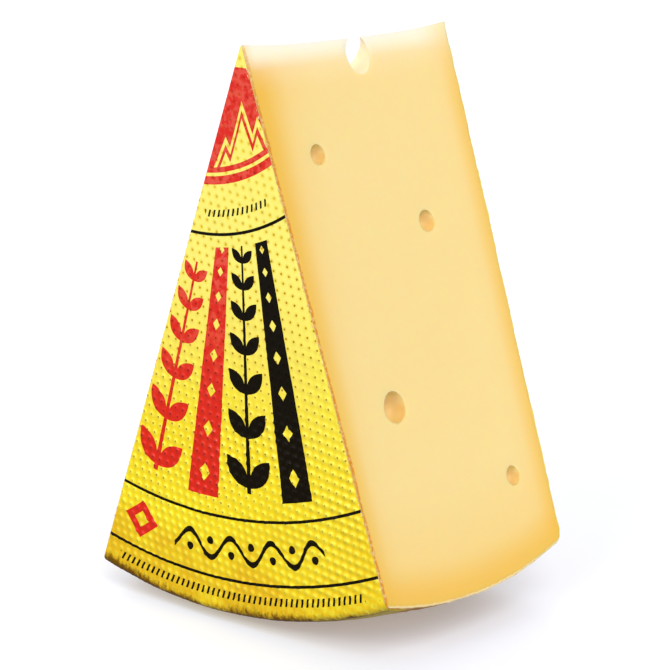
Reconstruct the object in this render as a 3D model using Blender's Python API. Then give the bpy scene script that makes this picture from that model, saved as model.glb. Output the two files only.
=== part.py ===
"""A wedge of hard cheese that stands on its rim, with a foil label on its flat face.

The wedge is a slice of a low round wheel. In the frame that the functions use, the
label's face meets the tip at the origin, X runs to the right along the label, Y runs
back through the wheel's thickness, and Z points up from the rim to the tip. All sizes
are in metres. At the end everything hangs from one empty, which puts the origin at the
middle of the whole part's underside.
"""

import math

import bmesh
import bpy
from mathutils import Vector

# The slice: how thick the wheel is, how wide the cut opens, and where the wheel's own
# centre lies. The two cuts meet a little to the right of that centre.
THICKNESS = 0.085
FACE_TAPER = 0.0242
HALF_ANGLE = math.radians(19.41)
WHEEL_CENTRE_X = -0.0155
WHEEL_CENTRE_Z = -0.0043

# The wheel's side: it bulges between the two flat faces and turns into them in a round.
RIM_RADIUS = 0.1560
RIM_CREST_Y = 0.0413
RIM_BULGE = 0.0065
RIM_THICKNESS = THICKNESS - 2 * FACE_TAPER * RIM_RADIUS
FRONT_ROUND = 0.0016
BACK_ROUND = 0.0028

# The knife bows a little, so each cut face is hollow by this much at mid thickness.
CUT_HOLLOW = 0.00053
HOLLOW_POWER = 3

# The flat worn on the crest of the rim, on which the wedge stands.
REST_FLAT_DEPTH = 0.0016

# The label: a thin skin on the front face that turns under round the rim.
LABEL_GAP = 0.0003
LABEL_THICKNESS = 0.0003
LABEL_STACK = LABEL_GAP + LABEL_THICKNESS
LABEL_TIP = 0.0005
LABEL_WRAP = 0.0060

# How finely the curved faces are divided.
RIM_STEPS = 28
CUT_STEPS = 12
FACE_STEPS = 14
ROUND_STEPS = 4
LABEL_COLUMNS = 28
LABEL_FACE_ROWS = 8
LABEL_WRAP_ROWS = 4
EYE_SEGMENTS = 28
EYE_RINGS = 16

# Gas bubbles that the knife opened. Each is: distance back along the thickness,
# distance from the tip edge, width of the hole on the cut face, and how much of the
# bubble's radius its centre lies below the face.
RIGHT_FACE_EYES = (
    (0.0197, 0.0309, 0.0056, 0.25),
    (0.0571, 0.0536, 0.0061, 0.20),
    (0.0259, 0.0999, 0.0085, 0.30),
    (0.0675, 0.1270, 0.0055, 0.20),
)
LEFT_FACE_EYES = (
    (0.0610, 0.0420, 0.0064, 0.25),
    (0.0240, 0.0680, 0.0052, 0.20),
    (0.0520, 0.1050, 0.0078, 0.30),
    (0.0330, 0.1330, 0.0058, 0.20),
)

# The bubble that opens both cut faces and the tip edge.
TIP_EYE_CENTRE = (0.0012, 0.0452, -0.0061)
TIP_EYE_RADII = (0.0050, 0.0045, 0.0054)


def clear_scene():
    """Remove whatever the file holds already."""
    for item in list(bpy.data.objects):
        bpy.data.objects.remove(item, do_unlink=True)


def make_material(name, colour, roughness, metallic=0.0):
    """A plain Principled material in one colour."""
    material = bpy.data.materials.new(name)
    material.use_nodes = True
    shader = material.node_tree.nodes["Principled BSDF"]
    shader.inputs["Base Color"].default_value = (*colour, 1.0)
    shader.inputs["Roughness"].default_value = roughness
    shader.inputs["Metallic"].default_value = metallic
    return material


def add_object(name, verts, faces, material=None):
    """Make a mesh object whose faces all point out."""
    mesh = bpy.data.meshes.new(name)
    mesh.from_pydata([tuple(v) for v in verts], [], faces)
    work = bmesh.new()
    work.from_mesh(mesh)
    bmesh.ops.recalc_face_normals(work, faces=work.faces)
    work.to_mesh(mesh)
    work.free()
    mesh.shade_smooth()
    mesh.set_sharp_from_angle(angle=math.radians(30))
    if material:
        mesh.materials.append(material)
    item = bpy.data.objects.new(name, mesh)
    bpy.context.scene.collection.objects.link(item)
    return item


def front_y(z):
    """The front flat face lies under the label and leans back a little towards the rim."""
    return LABEL_STACK - z * FACE_TAPER


def back_y(z):
    """The back flat face leans forward by the same amount."""
    return THICKNESS + z * FACE_TAPER


def crest_radius(y):
    """Radius of the bulging rim about the wheel's axis, before the ends are rounded."""
    across = (y - RIM_CREST_Y) / (THICKNESS / 2)
    return RIM_RADIUS - RIM_BULGE * across * across


def reach(angle, radius):
    """Distance from the tip to a circle about the wheel's axis, along a ray at an angle."""
    along = WHEEL_CENTRE_X * math.sin(angle) - WHEEL_CENTRE_Z * math.cos(angle)
    offset = WHEEL_CENTRE_X ** 2 + WHEEL_CENTRE_Z ** 2
    return along + math.sqrt(along * along - offset + radius * radius)


def round_inset(depth, size):
    """How far a round of this size draws the rim in, at this depth from the flat face."""
    if depth >= size:
        return 0.0
    return size - math.sqrt(size * size - (size - depth) ** 2)


def rim_point(angle, share):
    """The rim at an angle from the tip, at a share of the way from front face to back."""
    distance = RIM_RADIUS
    for _ in range(3):
        z = -distance * math.cos(angle)
        front = front_y(z)
        back = back_y(z)
        y = front + share * (back - front)
        inset = round_inset(y - front, FRONT_ROUND) + round_inset(back - y, BACK_ROUND)
        distance = reach(angle, crest_radius(y) - inset)
    return Vector((distance * math.sin(angle), y, -distance * math.cos(angle)))


def hollow_depth(share):
    """How far the cut faces lie in from true planes, from front face to back."""
    return CUT_HOLLOW * (1 - abs(2 * share - 1) ** HOLLOW_POWER)


def rim_slip(share):
    """The angle by which that hollow narrows the rim at each cut."""
    return hollow_depth(share) / RIM_RADIUS


def tip_point(share):
    """The tip edge sags where the two hollow cut faces meet lower down."""
    z = -hollow_depth(share) / math.sin(HALF_ANGLE)
    return Vector((0.0, front_y(z) + share * (back_y(z) - front_y(z)), z))


def thickness_shares():
    """Where the sections lie: close together in the two rounds, evenly between them."""
    turns = [1 - math.cos(math.pi / 2 * i / ROUND_STEPS) for i in range(ROUND_STEPS)]
    start = FRONT_ROUND / RIM_THICKNESS
    end = 1 - BACK_ROUND / RIM_THICKNESS
    front_round = [start * turn for turn in turns]
    middle = [start + (end - start) * i / FACE_STEPS for i in range(FACE_STEPS + 1)]
    back_round = [1 - (1 - end) * turn for turn in reversed(turns)]
    return front_round + middle + back_round


def wedge_section(share):
    """One closed outline of the wedge: tip, right cut, rim, left cut."""
    tip = tip_point(share)
    half = HALF_ANGLE - rim_slip(share)
    rim = [rim_point(half - 2 * half * i / RIM_STEPS, share) for i in range(RIM_STEPS + 1)]
    right = [tip.lerp(rim[0], i / CUT_STEPS) for i in range(1, CUT_STEPS)]
    left = [tip.lerp(rim[-1], i / CUT_STEPS) for i in range(CUT_STEPS - 1, 0, -1)]
    return [tip] + right + rim + left


def eye_cutter(name, centre, radii):
    """A bubble: a ball that the wedge is cut with."""
    work = bmesh.new()
    bmesh.ops.create_uvsphere(work, u_segments=EYE_SEGMENTS, v_segments=EYE_RINGS, radius=1.0)
    mesh = bpy.data.meshes.new(name)
    work.to_mesh(mesh)
    work.free()
    item = bpy.data.objects.new(name, mesh)
    item.location = centre
    item.scale = radii
    item.hide_render = True
    item.display_type = "WIRE"
    bpy.context.scene.collection.objects.link(item)
    return item


def face_eye_cutters(side, eyes):
    """The bubbles of one cut face: side is 1 for the right face and -1 for the left."""
    cutters = []
    for number, (y, distance, width, sunk) in enumerate(eyes):
        radius = width / 2 / math.sqrt(1 - sunk * sunk)
        inward = sunk * radius + CUT_HOLLOW
        x = distance * math.sin(HALF_ANGLE) - inward * math.cos(HALF_ANGLE)
        z = -distance * math.cos(HALF_ANGLE) - inward * math.sin(HALF_ANGLE)
        name = f"eye_cut_{'right' if side > 0 else 'left'}_{number}"
        cutters.append(eye_cutter(name, (side * x, y, z), (radius, radius, radius)))
    return cutters


def rest_cutter():
    """The block whose top face levels the crest of the rim."""
    top = WHEEL_CENTRE_Z - RIM_RADIUS + REST_FLAT_DEPTH
    work = bmesh.new()
    bmesh.ops.create_cube(work, size=0.2)
    mesh = bpy.data.meshes.new("rest_cut")
    work.to_mesh(mesh)
    work.free()
    item = bpy.data.objects.new("rest_cut", mesh)
    item.location = (0.0, THICKNESS / 2, top - 0.1)
    item.hide_render = True
    item.display_type = "WIRE"
    bpy.context.scene.collection.objects.link(item)
    return item


def cut_with(target, cutters):
    """Cut the target with each closed cutter in turn."""
    for cutter in cutters:
        modifier = target.modifiers.new(cutter.name, "BOOLEAN")
        modifier.operation = "DIFFERENCE"
        modifier.object = cutter


def make_cheese():
    """The cheese itself, paste and rind in one solid."""
    sections = [wedge_section(share) for share in thickness_shares()]
    count = len(sections[0])
    verts = [point for section in sections for point in section]
    faces = [list(range(count)), list(range((len(sections) - 1) * count, len(verts)))]
    for row in range(len(sections) - 1):
        for i in range(count):
            j = (i + 1) % count
            low = row * count
            faces.append((low + i, low + j, low + count + j, low + count + i))
    paste = make_material("cheese_paste", (0.93, 0.70, 0.27), 0.55)
    cheese = add_object("cheese", verts, faces, paste)
    cutters = face_eye_cutters(1, RIGHT_FACE_EYES) + face_eye_cutters(-1, LEFT_FACE_EYES)
    cutters.append(eye_cutter("eye_cut_tip", TIP_EYE_CENTRE, TIP_EYE_RADII))
    cutters.append(rest_cutter())
    cut_with(cheese, cutters)
    return cheese


def label_profile(angle):
    """Points under the label along one ray: down the face, round the edge, under the rim."""
    edge = rim_point(angle, 0.0)
    top = tip_point(0.0).lerp(edge, LABEL_TIP / edge.length)
    points = [top.lerp(edge, i / LABEL_FACE_ROWS) for i in range(LABEL_FACE_ROWS + 1)]
    depths = [FRONT_ROUND * (1 - math.cos(math.pi / 2 * i / ROUND_STEPS))
              for i in range(1, ROUND_STEPS + 1)]
    depths += [FRONT_ROUND + LABEL_WRAP * i / LABEL_WRAP_ROWS
               for i in range(1, LABEL_WRAP_ROWS + 1)]
    for depth in depths:
        share = depth / RIM_THICKNESS
        points.append(rim_point(angle * (1 - rim_slip(share) / HALF_ANGLE), share))
    return points


def lift_profile(points, angle, distance):
    """Move a profile out from the cheese by a distance, square to its own run."""
    down = Vector((math.sin(angle), 0.0, -math.cos(angle)))
    back = Vector((0.0, 1.0, 0.0))
    lifted = []
    for i, point in enumerate(points):
        run = (points[min(i + 1, len(points) - 1)] - points[max(i - 1, 0)]).normalized()
        outward = down * run.dot(back) - back * run.dot(down)
        lifted.append(point + outward * distance)
    return lifted


def make_label():
    """The foil label: one skin over the front face, turned under round the rim."""
    inner = []
    outer = []
    for i in range(LABEL_COLUMNS + 1):
        angle = HALF_ANGLE - 2 * HALF_ANGLE * i / LABEL_COLUMNS
        profile = label_profile(angle)
        inner.append(lift_profile(profile, angle, LABEL_GAP))
        outer.append(lift_profile(profile, angle, LABEL_STACK))
    rows = len(inner[0])
    verts = [point for column in inner for point in column]
    verts += [point for column in outer for point in column]
    shift = len(inner) * rows
    faces = []
    for i in range(LABEL_COLUMNS):
        for j in range(rows - 1):
            a = i * rows + j
            faces.append((a, a + 1, a + rows + 1, a + rows))
            faces.append((shift + a, shift + a + rows, shift + a + rows + 1, shift + a + 1))
    for i in range(LABEL_COLUMNS):
        for j in (0, rows - 1):
            a = i * rows + j
            faces.append((a, a + rows, shift + a + rows, shift + a))
    for i in (0, LABEL_COLUMNS):
        for j in range(rows - 1):
            a = i * rows + j
            faces.append((a, shift + a, shift + a + 1, a + 1))
    foil = make_material("label_foil", (0.93, 0.68, 0.05), 0.35)
    return add_object("label", verts, faces, foil)


def whole_box(items):
    """Lowest and highest corners of some objects after their modifiers."""
    bpy.context.view_layer.update()
    graph = bpy.context.evaluated_depsgraph_get()
    points = [item.matrix_world @ v.co
              for item in items for v in item.evaluated_get(graph).data.vertices]
    low = Vector([min(p[i] for p in points) for i in range(3)])
    high = Vector([max(p[i] for p in points) for i in range(3)])
    return low, high


def main():
    clear_scene()
    cheese = make_cheese()
    label = make_label()
    low, high = whole_box((cheese, label))
    base = bpy.data.objects.new("wedge_base", None)
    bpy.context.scene.collection.objects.link(base)
    for item in list(bpy.data.objects):
        if item is not base:
            item.parent = base
    base.location = (-(low.x + high.x) / 2, -(low.y + high.y) / 2, -low.z)
    print("Box of the wedge, mm:", [round(1000 * v, 2) for v in high - low])
    print("Tip front, mm:", [round(1000 * v, 3) for v in base.location])


main()
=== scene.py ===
# %% [markdown]
# The object is a wedge of hard, washed-rind cheese, cut from a low round wheel. It stands
# on its curved rim with the tip up. The wheel's flat face carries a printed foil label,
# and the fresh cut shows smooth yellow paste with a few round holes, the "eyes".
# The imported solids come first, because every piece below has to sit where they are. The
# box of the bare solids is kept, so that the dressed model can be held against it.

# %% Load the frame
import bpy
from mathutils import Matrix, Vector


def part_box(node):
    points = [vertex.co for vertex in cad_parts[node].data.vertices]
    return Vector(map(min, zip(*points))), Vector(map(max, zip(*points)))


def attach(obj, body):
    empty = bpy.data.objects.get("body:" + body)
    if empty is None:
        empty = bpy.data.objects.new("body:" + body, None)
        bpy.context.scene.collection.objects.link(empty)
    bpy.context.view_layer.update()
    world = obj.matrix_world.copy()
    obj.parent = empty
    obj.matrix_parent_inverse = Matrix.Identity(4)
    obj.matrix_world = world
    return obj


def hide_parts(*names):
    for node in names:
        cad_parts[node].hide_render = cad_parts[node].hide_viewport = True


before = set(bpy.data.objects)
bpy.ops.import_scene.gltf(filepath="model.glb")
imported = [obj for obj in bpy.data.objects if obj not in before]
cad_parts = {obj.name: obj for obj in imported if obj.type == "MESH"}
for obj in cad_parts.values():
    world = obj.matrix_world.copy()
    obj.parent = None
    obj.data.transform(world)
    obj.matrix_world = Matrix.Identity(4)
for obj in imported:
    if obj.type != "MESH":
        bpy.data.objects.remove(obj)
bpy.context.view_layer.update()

# %% Modules
import math
import random
from functools import partialmethod

import bmesh
import bpy
from mathutils import Matrix, Vector, noise

MM = 0.001

# %% [markdown]
# The camera stands at the photo's place: about 40 degrees round to the right of the
# label and 13 degrees up, with a long lens, so the edges hardly converge. A camera's
# place and its three directions say all of that. They were fitted to the photo's long
# edges, corners and printed arcs. The lens needs no shift, because the picture's middle
# is the lens's own axis.

# %% The camera
CAMERA_PLACE = Vector((0.44730, -0.53473, 0.23945))
CAMERA_FORWARD = Vector((-0.62481, 0.74636, -0.22926))
CAMERA_RIGHT = Vector((0.76352, 0.64546, 0.02048))
LENS_MM = 139.97
SENSOR_MM = 36.0


def put_in_scene(name, data):
    """A new object in the scene, from a mesh, a light or a camera."""
    made = bpy.data.objects.new(name, data)
    bpy.context.scene.collection.objects.link(made)
    return made


def make_camera():
    """A camera from its place and two of its directions."""
    back = -CAMERA_FORWARD.normalized()
    right = (CAMERA_RIGHT - back * CAMERA_RIGHT.dot(back)).normalized()
    up = back.cross(right)
    turn = Matrix((right, up, back)).transposed().to_4x4()
    data = bpy.data.cameras.new("studio_camera")
    data.lens = LENS_MM
    data.sensor_width = SENSOR_MM
    camera = put_in_scene("studio_camera", data)
    camera.matrix_world = Matrix.Translation(CAMERA_PLACE) @ turn
    bpy.context.scene.camera = camera
    return camera


camera = make_camera()
print("Camera turned, degrees:", [round(math.degrees(a), 1) for a in camera.rotation_euler])

# %% [markdown]
# The wedge is a slice of a wheel, so its shape comes from few sizes: the wheel's
# thickness, the angle of the cut, the rim's radius and its bulge. The solids were made
# from the same rules. Repeating the rules here, in place of taking the solids' corners,
# lets the fine surface be as smooth as needed. In the slice's own frame the label meets
# the tip at the origin, X runs right along the label, Y runs back through the wheel and
# Z points up.

# %% Sizes of the slice
THICKNESS = 0.085
FACE_TAPER = 0.0242
HALF_ANGLE = math.radians(19.41)
WHEEL_CENTRE_X = -0.0155
WHEEL_CENTRE_Z = -0.0043
RIM_RADIUS = 0.1560
RIM_CREST_Y = 0.0413
RIM_BULGE = 0.0065
RIM_THICKNESS = THICKNESS - 2 * FACE_TAPER * RIM_RADIUS
FRONT_ROUND = 0.0016
BACK_ROUND = 0.0028
CUT_HOLLOW = 0.00053
HOLLOW_POWER = 3
REST_FLAT_DEPTH = 0.0016
# How far the cheese's front lies behind the printed face. The foil is thinner here than
# in the solids, so the cheese comes forward to meet it.
FOIL_SEAT = 0.0004
print("Wheel across, mm:", round(2 * RIM_RADIUS / MM), " at the rim:", round(RIM_THICKNESS / MM))

# %% The slice's two flat faces and its rim


def front_y(z):
    """The front face leans back a little towards the rim."""
    return FOIL_SEAT - z * FACE_TAPER


def back_y(z):
    """The back face leans forward by the same amount."""
    return THICKNESS + z * FACE_TAPER


def crest_radius(y):
    """Radius of the bulging rim about the wheel's axis, before its edges are rounded."""
    across = (y - RIM_CREST_Y) / (THICKNESS / 2)
    return RIM_RADIUS - RIM_BULGE * across * across


def reach(angle, radius):
    """Distance from the tip to a circle about the wheel's axis, along a ray."""
    along = WHEEL_CENTRE_X * math.sin(angle) - WHEEL_CENTRE_Z * math.cos(angle)
    offset = WHEEL_CENTRE_X ** 2 + WHEEL_CENTRE_Z ** 2
    return along + math.sqrt(along * along - offset + radius * radius)


def round_inset(depth, size):
    """How far a round of this size draws the rim in, at a depth from the flat face."""
    if depth >= size:
        return 0.0
    short = size - max(depth, 0.0)
    return size - math.sqrt(size * size - short * short)


def rim_point(angle, share):
    """The rim at an angle from the tip, at a share of the way from front to back."""
    distance = RIM_RADIUS
    for _ in range(3):
        z = -distance * math.cos(angle)
        front = front_y(z)
        back = back_y(z)
        y = front + share * (back - front)
        inset = round_inset(y - front, FRONT_ROUND) + round_inset(back - y, BACK_ROUND)
        distance = reach(angle, crest_radius(y) - inset)
    return Vector((distance * math.sin(angle), y, -distance * math.cos(angle)))


# %% The two cuts, a little hollow between front and back


def hollow_depth(share):
    """How far the cut faces lie in from true planes."""
    return CUT_HOLLOW * (1 - abs(2 * share - 1) ** HOLLOW_POWER)


def rim_slip(share):
    """The angle by which that hollow narrows the rim at each cut."""
    return hollow_depth(share) / RIM_RADIUS


def tip_point(share):
    """The tip edge sags where the two hollow cuts meet lower down."""
    z = -hollow_depth(share) / math.sin(HALF_ANGLE)
    return Vector((0.0, front_y(z) + share * (back_y(z) - front_y(z)), z))


# %% Where the slice stands in the frame


def slice_place():
    """The shift that lays the slice's own outline on the cheese's solid."""
    corners = [rim_point(side * (HALF_ANGLE - rim_slip(i / 40)), i / 40)
               for side in (-1, 1) for i in range(41)]
    low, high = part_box("cheese")
    middle_x = (min(c.x for c in corners) + max(c.x for c in corners)) / 2
    back = tip_point(1.0).y
    return Vector(((low.x + high.x) / 2 - middle_x, high.y - back, high.z))


PLACE = slice_place()
print("Front end of the tip, mm:", [round(v / MM, 3) for v in PLACE])

# %% [markdown]
# A surface with fine relief needs many small faces where it is rough or edged, and few
# where it is smooth. So each run of points has fine steps near its ends and coarse ones
# between. A flat face that narrows to a tip can't be an even grid: its rows hold fewer
# points near the tip. Two rows with different counts are joined by a strip of
# triangles, taking whichever next point comes first.

# %% Steps and strips


def even_steps(start, end, size):
    """Starts of equal steps of about a size, from one distance to another."""
    count = max(1, round((end - start) / size))
    return [start + (end - start) * i / count for i in range(count)]


def graded_shares(length, fine, coarse, first_band, last_band):
    """Shares of a run: fine steps in a band at each end and coarse ones between."""
    steps = even_steps(0.0, first_band, fine) if first_band else []
    steps += even_steps(first_band, length - last_band, coarse)
    steps += even_steps(length - last_band, length, fine)
    return [step / length for step in steps] + [1.0]


def row_shares(width, size):
    """Equal shares of a row of about a point for each size."""
    count = max(2, round(width / size))
    return [i / count for i in range(count + 1)]


def stitch(faces, row_a, shares_a, row_b, shares_b):
    """Fill the strip between two rows whose points lie at the given shares."""
    a = 0
    b = 0
    while a < len(row_a) - 1 or b < len(row_b) - 1:
        a_open = a < len(row_a) - 1
        b_open = b < len(row_b) - 1
        if a_open and (not b_open or shares_a[a + 1] <= shares_b[b + 1]):
            faces.append((row_a[a], row_b[b], row_a[a + 1]))
            a += 1
        else:
            faces.append((row_a[a], row_b[b], row_b[b + 1]))
            b += 1


# %% [markdown]
# The cheese itself is one closed skin: two cut faces, the rim, and the two flat faces of
# the wheel. Sections from front to back hold the cuts and the rim, and each flat face is
# closed by rows that widen towards the rim. It is built plain first. The relief comes
# last, because the eyes are cut more cleanly from a plain skin.

# %% The plain skin
FINE = 0.28 * MM
CUT_STEP = 1.1 * MM
RIND_STEP = 0.7 * MM
HIDDEN_STEP = 2.4 * MM
EDGE_BAND = 3.0 * MM

cut_shares = graded_shares(RIM_RADIUS, FINE, CUT_STEP, 0.0, EDGE_BAND)
depth_shares = graded_shares(RIM_THICKNESS, FINE, RIND_STEP, EDGE_BAND, EDGE_BAND)
rim_shares = graded_shares(2 * HALF_ANGLE * RIM_RADIUS, FINE, RIND_STEP, EDGE_BAND, EDGE_BAND)


def slice_section(share):
    """One closed outline of the slice: tip, right cut, rim, left cut."""
    tip = tip_point(share)
    half = HALF_ANGLE - rim_slip(share)
    rim = [rim_point(half * (1 - 2 * t), share) for t in rim_shares]
    right = [tip.lerp(rim[0], s) for s in cut_shares[1:-1]]
    left = [tip.lerp(rim[-1], s) for s in reversed(cut_shares[1:-1])]
    return [tip] + right + rim + left


def close_flat_face(verts, faces, outline, share, size):
    """Fill one flat face of the wheel with rows that run from cut to cut."""
    rows = len(cut_shares)
    right = outline[1:rows - 1]
    rim = outline[rows - 1:rows - 1 + len(rim_shares)]
    left = list(reversed(outline[rows - 1 + len(rim_shares):]))
    tip = tip_point(share)
    upper = [outline[0]]
    upper_shares = [0.0]
    for j, along in enumerate(cut_shares[1:-1]):
        shares = row_shares(2 * along * RIM_RADIUS * HALF_ANGLE, size)
        row = [right[j]]
        for t in shares[1:-1]:
            row.append(len(verts))
            verts.append(tip.lerp(rim_point(HALF_ANGLE * (1 - 2 * t), share), along))
        row.append(left[j])
        stitch(faces, upper, upper_shares, row, shares)
        upper = row
        upper_shares = shares
    stitch(faces, upper, upper_shares, rim, rim_shares)


def plain_skin():
    """Corners and faces of the whole slice."""
    sections = [slice_section(share) for share in depth_shares]
    count = len(sections[0])
    verts = [point for section in sections for point in section]
    faces = []
    for row in range(len(sections) - 1):
        for i in range(count):
            low = row * count
            j = (i + 1) % count
            faces.append((low + i, low + j, low + count + j, low + count + i))
    last = (len(sections) - 1) * count
    close_flat_face(verts, faces, list(range(count)), 0.0, HIDDEN_STEP)
    close_flat_face(verts, faces, list(range(last, last + count)), 1.0, RIND_STEP)
    return verts, faces


def add_mesh(name, verts, faces):
    """A mesh object in the frame, from corners in the slice's own frame."""
    mesh = bpy.data.meshes.new(name)
    mesh.from_pydata([tuple(v + PLACE) for v in verts], [], faces)
    work = bmesh.new()
    work.from_mesh(mesh)
    bmesh.ops.recalc_face_normals(work, faces=work.faces)
    work.to_mesh(mesh)
    work.free()
    return put_in_scene(name, mesh)


cheese_body = add_mesh("cheese_body", *plain_skin())
print("Plain skin:", len(cheese_body.data.vertices), "corners")

# %% [markdown]
# The eyes are bubbles of gas that the knife has opened. Each is nearly a ball whose
# middle lies a little under the cut, so the hole is wider inside than at its lip. The
# skin is first divided finely round each hole, so that its lip can be softened later,
# and then one cut takes all the balls out. One bubble lies right under the tip edge and
# breaks it open from both sides.

# %% The bubbles
# Each is: distance back along the thickness, distance from the tip edge, width of the
# hole, and the share of the ball's radius by which its middle lies under the cut.
RIGHT_FACE_EYES = (
    (0.0197, 0.0309, 0.0056, 0.25),
    (0.0571, 0.0536, 0.0061, 0.20),
    (0.0259, 0.0999, 0.0085, 0.30),
    (0.0675, 0.1270, 0.0055, 0.20),
)
LEFT_FACE_EYES = (
    (0.0610, 0.0420, 0.0064, 0.25),
    (0.0240, 0.0680, 0.0052, 0.20),
    (0.0520, 0.1050, 0.0078, 0.30),
    (0.0330, 0.1330, 0.0058, 0.20),
)
TIP_EYE_CENTRE = Vector((0.0012, 0.0452, -0.0061))
TIP_EYE_RADII = Vector((0.0050, 0.0045, 0.0054))


def face_bubbles(side, eyes):
    """Middles and radii of one cut's bubbles: side is 1 for the right cut, -1 for the left."""
    bubbles = []
    for y, distance, width, sunk in eyes:
        radius = width / 2 / math.sqrt(1 - sunk * sunk)
        inward = sunk * radius + CUT_HOLLOW
        x = distance * math.sin(HALF_ANGLE) - inward * math.cos(HALF_ANGLE)
        z = -distance * math.cos(HALF_ANGLE) - inward * math.sin(HALF_ANGLE)
        bubbles.append((Vector((side * x, y, z)), Vector((radius, radius, radius))))
    return bubbles


BUBBLES = face_bubbles(1, RIGHT_FACE_EYES) + face_bubbles(-1, LEFT_FACE_EYES)
BUBBLES.append((TIP_EYE_CENTRE, TIP_EYE_RADII))
print("Bubbles:", len(BUBBLES), " widest, mm:", round(2 * max(r.x for _, r in BUBBLES) / MM, 1))

# %% Divide the skin round each hole
LIP_REACH = 1.3 * MM


def near_bubble(point, spare):
    """Whether a point of the slice lies inside a bubble, or within a distance of it."""
    for middle, radii in BUBBLES:
        if (point - middle).length < max(radii) + spare:
            return True
    return False


def divide_near_bubbles(piece, cuts):
    """Cut each edge near a bubble into smaller ones."""
    work = bmesh.new()
    work.from_mesh(piece.data)
    near = {v for v in work.verts if near_bubble(v.co - PLACE, LIP_REACH)}
    edges = [e for e in work.edges if e.verts[0] in near and e.verts[1] in near]
    bmesh.ops.subdivide_edges(work, edges=edges, cuts=cuts, use_grid_fill=True)
    work.to_mesh(piece.data)
    work.free()


divide_near_bubbles(cheese_body, 2)
print("With fine lips:", len(cheese_body.data.vertices), "corners")

# %% Cut the bubbles out
BUBBLE_DETAIL = 5
BUBBLE_UNEVEN = 0.025
BUBBLE_LUMPS = 1.3


def finished(work, name):
    """An object from a mesh that was worked on, which is then closed."""
    mesh = bpy.data.meshes.new(name)
    work.to_mesh(mesh)
    work.free()
    return put_in_scene(name, mesh)


def make_bubbles():
    """All the balls as one cutter, each a little out of round."""
    work = bmesh.new()
    for middle, radii in BUBBLES:
        made = bmesh.ops.create_icosphere(work, subdivisions=BUBBLE_DETAIL, radius=1.0)
        for v in made["verts"]:
            swell = 1 + BUBBLE_UNEVEN * noise.noise(v.co * BUBBLE_LUMPS + middle / MM)
            v.co = Vector(v.co[i] * radii[i] * swell for i in range(3)) + middle + PLACE
    return finished(work, "bubbles")


def cut_out(piece, cutter):
    """Take the cutter's space out of a piece for good, and drop the cutter."""
    modifier = piece.modifiers.new("open_bubbles", "BOOLEAN")
    modifier.operation = "DIFFERENCE"
    modifier.object = cutter
    bpy.context.view_layer.update()
    graph = bpy.context.evaluated_depsgraph_get()
    result = bpy.data.meshes.new_from_object(piece.evaluated_get(graph))
    piece.modifiers.clear()
    piece.data = result
    bpy.data.objects.remove(cutter, do_unlink=True)


cut_out(cheese_body, make_bubbles())
print("With open eyes:", len(cheese_body.data.vertices), "corners")

# %% [markdown]
# Colour on a cheese follows depth from the rind: the skin itself, a thin brown line, a
# golden band, then pale paste. So every corner keeps its distance from the front, back,
# rim and tip as a number on the mesh, in millimetres. The shader reads these numbers,
# which stay true however the mesh is divided.

# %% Distances kept on the mesh


def slice_depths(point):
    """Distances in mm from the front face, the back face, the rim, the tip and a cut."""
    from_axis = math.hypot(point.x - WHEEL_CENTRE_X, point.z - WHEEL_CENTRE_Z)
    return (
        (point.y - front_y(point.z)) / MM,
        (back_y(point.z) - point.y) / MM,
        (crest_radius(point.y) - from_axis) / MM,
        math.hypot(point.x, point.z) / MM,
        (-point.z * math.sin(HALF_ANGLE) - abs(point.x) * math.cos(HALF_ANGLE)) / MM,
    )


def in_bubble(point):
    """1 on a bubble's wall and 0 off it, and the height in the bubble from -1 to 1."""
    for middle, radii in BUBBLES:
        offset = point - middle
        size = math.sqrt(sum((offset[i] / radii[i]) ** 2 for i in range(3)))
        if size < 1 + 2 * BUBBLE_UNEVEN:
            return 1.0, offset.z / radii.z
    return 0.0, 0.0


def keep_numbers(mesh, name, values):
    """Store one number for each corner under a name."""
    layer = mesh.attributes.new(name, "FLOAT", "POINT")
    layer.data.foreach_set("value", values)


points = [v.co - PLACE for v in cheese_body.data.vertices]
depths = [slice_depths(p) for p in points]
walls = [in_bubble(p) for p in points]
on_wall = [wall[0] for wall in walls]
for number, name in enumerate(("from_front", "from_back", "from_rim", "from_tip", "from_cut")):
    keep_numbers(cheese_body.data, name, [d[number] for d in depths])
keep_numbers(cheese_body.data, "in_eye", on_wall)
keep_numbers(cheese_body.data, "eye_height", [wall[1] for wall in walls])
print("Corners on eye walls:", int(sum(on_wall)))

# %% [markdown]
# Now the relief. A washed rind is uneven: it swells and dips over a centimetre, and is
# wrinkled and pitted at a millimetre. The knife leaves the paste almost flat, with a
# slow wave. Where cut meets rind the dry skin crumbles, so that edge is ragged. Moving
# corners along their own normals by layers of noise gives all three from one rule.

# %% Relief of rind and cut
# How much fainter and finer each layer of noise is than the one before.
LAYERING = (0.9, 2.1)
# Each of these is: height, size across, and how many layers of noise.
RIND_SWELL = (0.22 * MM, 13.0 * MM, 2)
RIND_WRINKLE = (0.16 * MM, 2.2 * MM, 3)
CUT_WAVE = (0.05 * MM, 20.0 * MM, 2)
WALL_WAVE = (0.05 * MM, 2.0 * MM, 2)
CHIPS = (0.5, 0.9 * MM, 2)
RIND_PIT = 0.30 * MM
PIT_SPACING = 3.1 * MM
PIT_FROM = 0.42
PIT_RISE = 0.3
CRUMBLE = 0.30 * MM
CRUMBLE_BAND = 1.3
LIP_DROP = 0.16 * MM
LIP_BAND = 0.7 * MM
LIP_START = 0.4 * MM
SKIN_BAND = 0.25
# Bare rind lies a little under the crumbled edge. Under the foil it is pressed flat, so
# that it doesn't push through, from this far in from the rim.
RIND_SET_IN = 0.3
UNDER_FOIL = 0.3
UNDER_FOIL_FROM = 1.0
SHARP_FROM = math.radians(50)


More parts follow.
